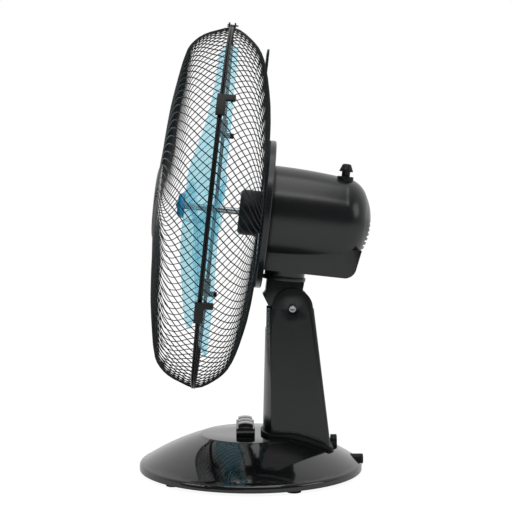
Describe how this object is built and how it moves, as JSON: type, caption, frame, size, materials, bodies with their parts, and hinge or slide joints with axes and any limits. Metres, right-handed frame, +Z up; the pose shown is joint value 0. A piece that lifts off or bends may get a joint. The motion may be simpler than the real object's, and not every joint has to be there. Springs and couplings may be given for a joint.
{
  "type": "desk fan",
  "caption": "Oscillating, tilting desk fan with a round weighted base, push keys, a tapering column, a three-bladed propeller in a spiral wire guard and a domed motor housing.",
  "frame": {"origin": "on the floor under the middle of the round base", "axes": "+Z up, -Y the way the fan blows, +X to the side"},
  "size_m": [0.4284, 0.2756, 0.5339],
  "materials": {
    "black_gloss": "glossy black moulded plastic",
    "black_plastic": "fine-textured black moulded plastic",
    "charcoal": "satin charcoal moulded plastic",
    "iron": "rough grey iron casting",
    "zinc_steel": "bright zinc-plated steel",
    "spring_steel": "blued spring steel",
    "shaft_steel": "ground steel",
    "foot_rubber": "dull black rubber",
    "white_plastic": "natural white nylon",
    "cast_aluminium": "as-cast aluminium",
    "lamination": "stacked silicon steel sheet",
    "copper_winding": "varnished copper wire",
    "guard_wire": "steel wire with black powder coat",
    "capacitor_case": "off-white moulded case",
    "cyan_plastic": "clear pale-cyan moulded plastic",
    "blue_plastic": "deep-blue moulded plastic"
  },
  "bodies": {
    "stand": {"base_shell": "black_gloss", "base_floor": "black_plastic", "base_weight": "iron", "base_screws": "zinc_steel", "rubber_feet": "foot_rubber", "cord_inlet": "black_plastic", "key_bezel": "black_gloss", "switch_body": "white_plastic", "column_shell": "charcoal", "column_cover": "charcoal", "column_collar": "black_plastic", "column_screws": "zinc_steel", "tilt_bolt": "zinc_steel", "tilt_nut": "zinc_steel", "tilt_washers": "zinc_steel"},
    "stop_key": {"key_stop": "black_gloss"},
    "low_key": {"key_low": "black_gloss"},
    "high_key": {"key_high": "black_gloss"},
    "neck": {"neck_bracket": "charcoal", "swivel_plate": "charcoal", "swivel_bush": "white_plastic", "swivel_washer": "white_plastic"},
    "head": {"swing_pin": "zinc_steel", "swing_clip": "spring_steel", "mount_plate": "charcoal", "motor_housing": "charcoal", "motor_front_bell": "cast_aluminium", "motor_rear_bell": "cast_aluminium", "stator_core": "lamination", "stator_coils": "copper_winding", "guard_nut": "black_plastic", "plate_screws": "zinc_steel", "front_guard_wires": "guard_wire", "rear_guard_wires": "guard_wire", "front_rim_ring": "guard_wire", "rear_rim_ring": "guard_wire", "rear_inner_ring": "guard_wire", "guard_badge": "black_gloss", "guard_clips": "black_plastic", "rim_clamp": "black_plastic", "rim_clamp_screw": "zinc_steel", "carry_handle": "black_plastic", "gearbox_case": "white_plastic", "knob_collar": "black_plastic", "run_capacitor": "capacitor_case"},
    "rotor": {"rotor_core": "lamination", "motor_shaft": "shaft_steel", "fan_blade": "cyan_plastic", "drive_pin": "shaft_steel", "spinner_nut": "blue_plastic", "shaft_worm": "shaft_steel"},
    "knob": {"swing_knob": "black_plastic"},
    "gear": {"worm_wheel": "white_plastic"}
  },
  "joints": [
    {"name": "tilt", "type": "hinge", "parent": "stand", "child": "neck", "pos_m": [0, 0.0488, 0.1963], "axis": [1, 0, 0], "range_deg": [-12, 14]},
    {"name": "swing", "type": "hinge", "parent": "neck", "child": "head", "pos_m": [0, 0.04008, 0.23366], "axis": [0, 0.108, 0.9942], "range_deg": [-38, 38]},
    {"name": "blade_spin", "type": "hinge", "parent": "head", "child": "rotor", "pos_m": [0, -0.04516, 0.31383], "axis": [0, -0.9942, 0.108], "continuous": true},
    {"name": "worm_wheel_turn", "type": "hinge", "parent": "head", "child": "gear", "pos_m": [0.013, 0.10595, 0.29742], "axis": [0, 0.108, 0.9942], "continuous": true},
    {"name": "knob_slide", "type": "slide", "parent": "head", "child": "knob", "axis": [0, -0.108, -0.9942], "range_m": [0, 0.0055]},
    {"name": "stop_key_press", "type": "slide", "parent": "stand", "child": "stop_key", "axis": [0, 0, -1], "range_m": [0, 0.0034], "stiffness_N_per_m": 400, "springref_m": -0.0005},
    {"name": "low_key_press", "type": "slide", "parent": "stand", "child": "low_key", "axis": [0, 0, -1], "range_m": [0, 0.0034], "stiffness_N_per_m": 400, "springref_m": -0.0005},
    {"name": "high_key_press", "type": "slide", "parent": "stand", "child": "high_key", "axis": [0, 0, -1], "range_m": [0, 0.0034], "stiffness_N_per_m": 400, "springref_m": -0.0005}
  ],
  "couplings": [
    {"joint": "worm_wheel_turn", "follows": "blade_spin", "ratio": -0.033333}
  ]
}
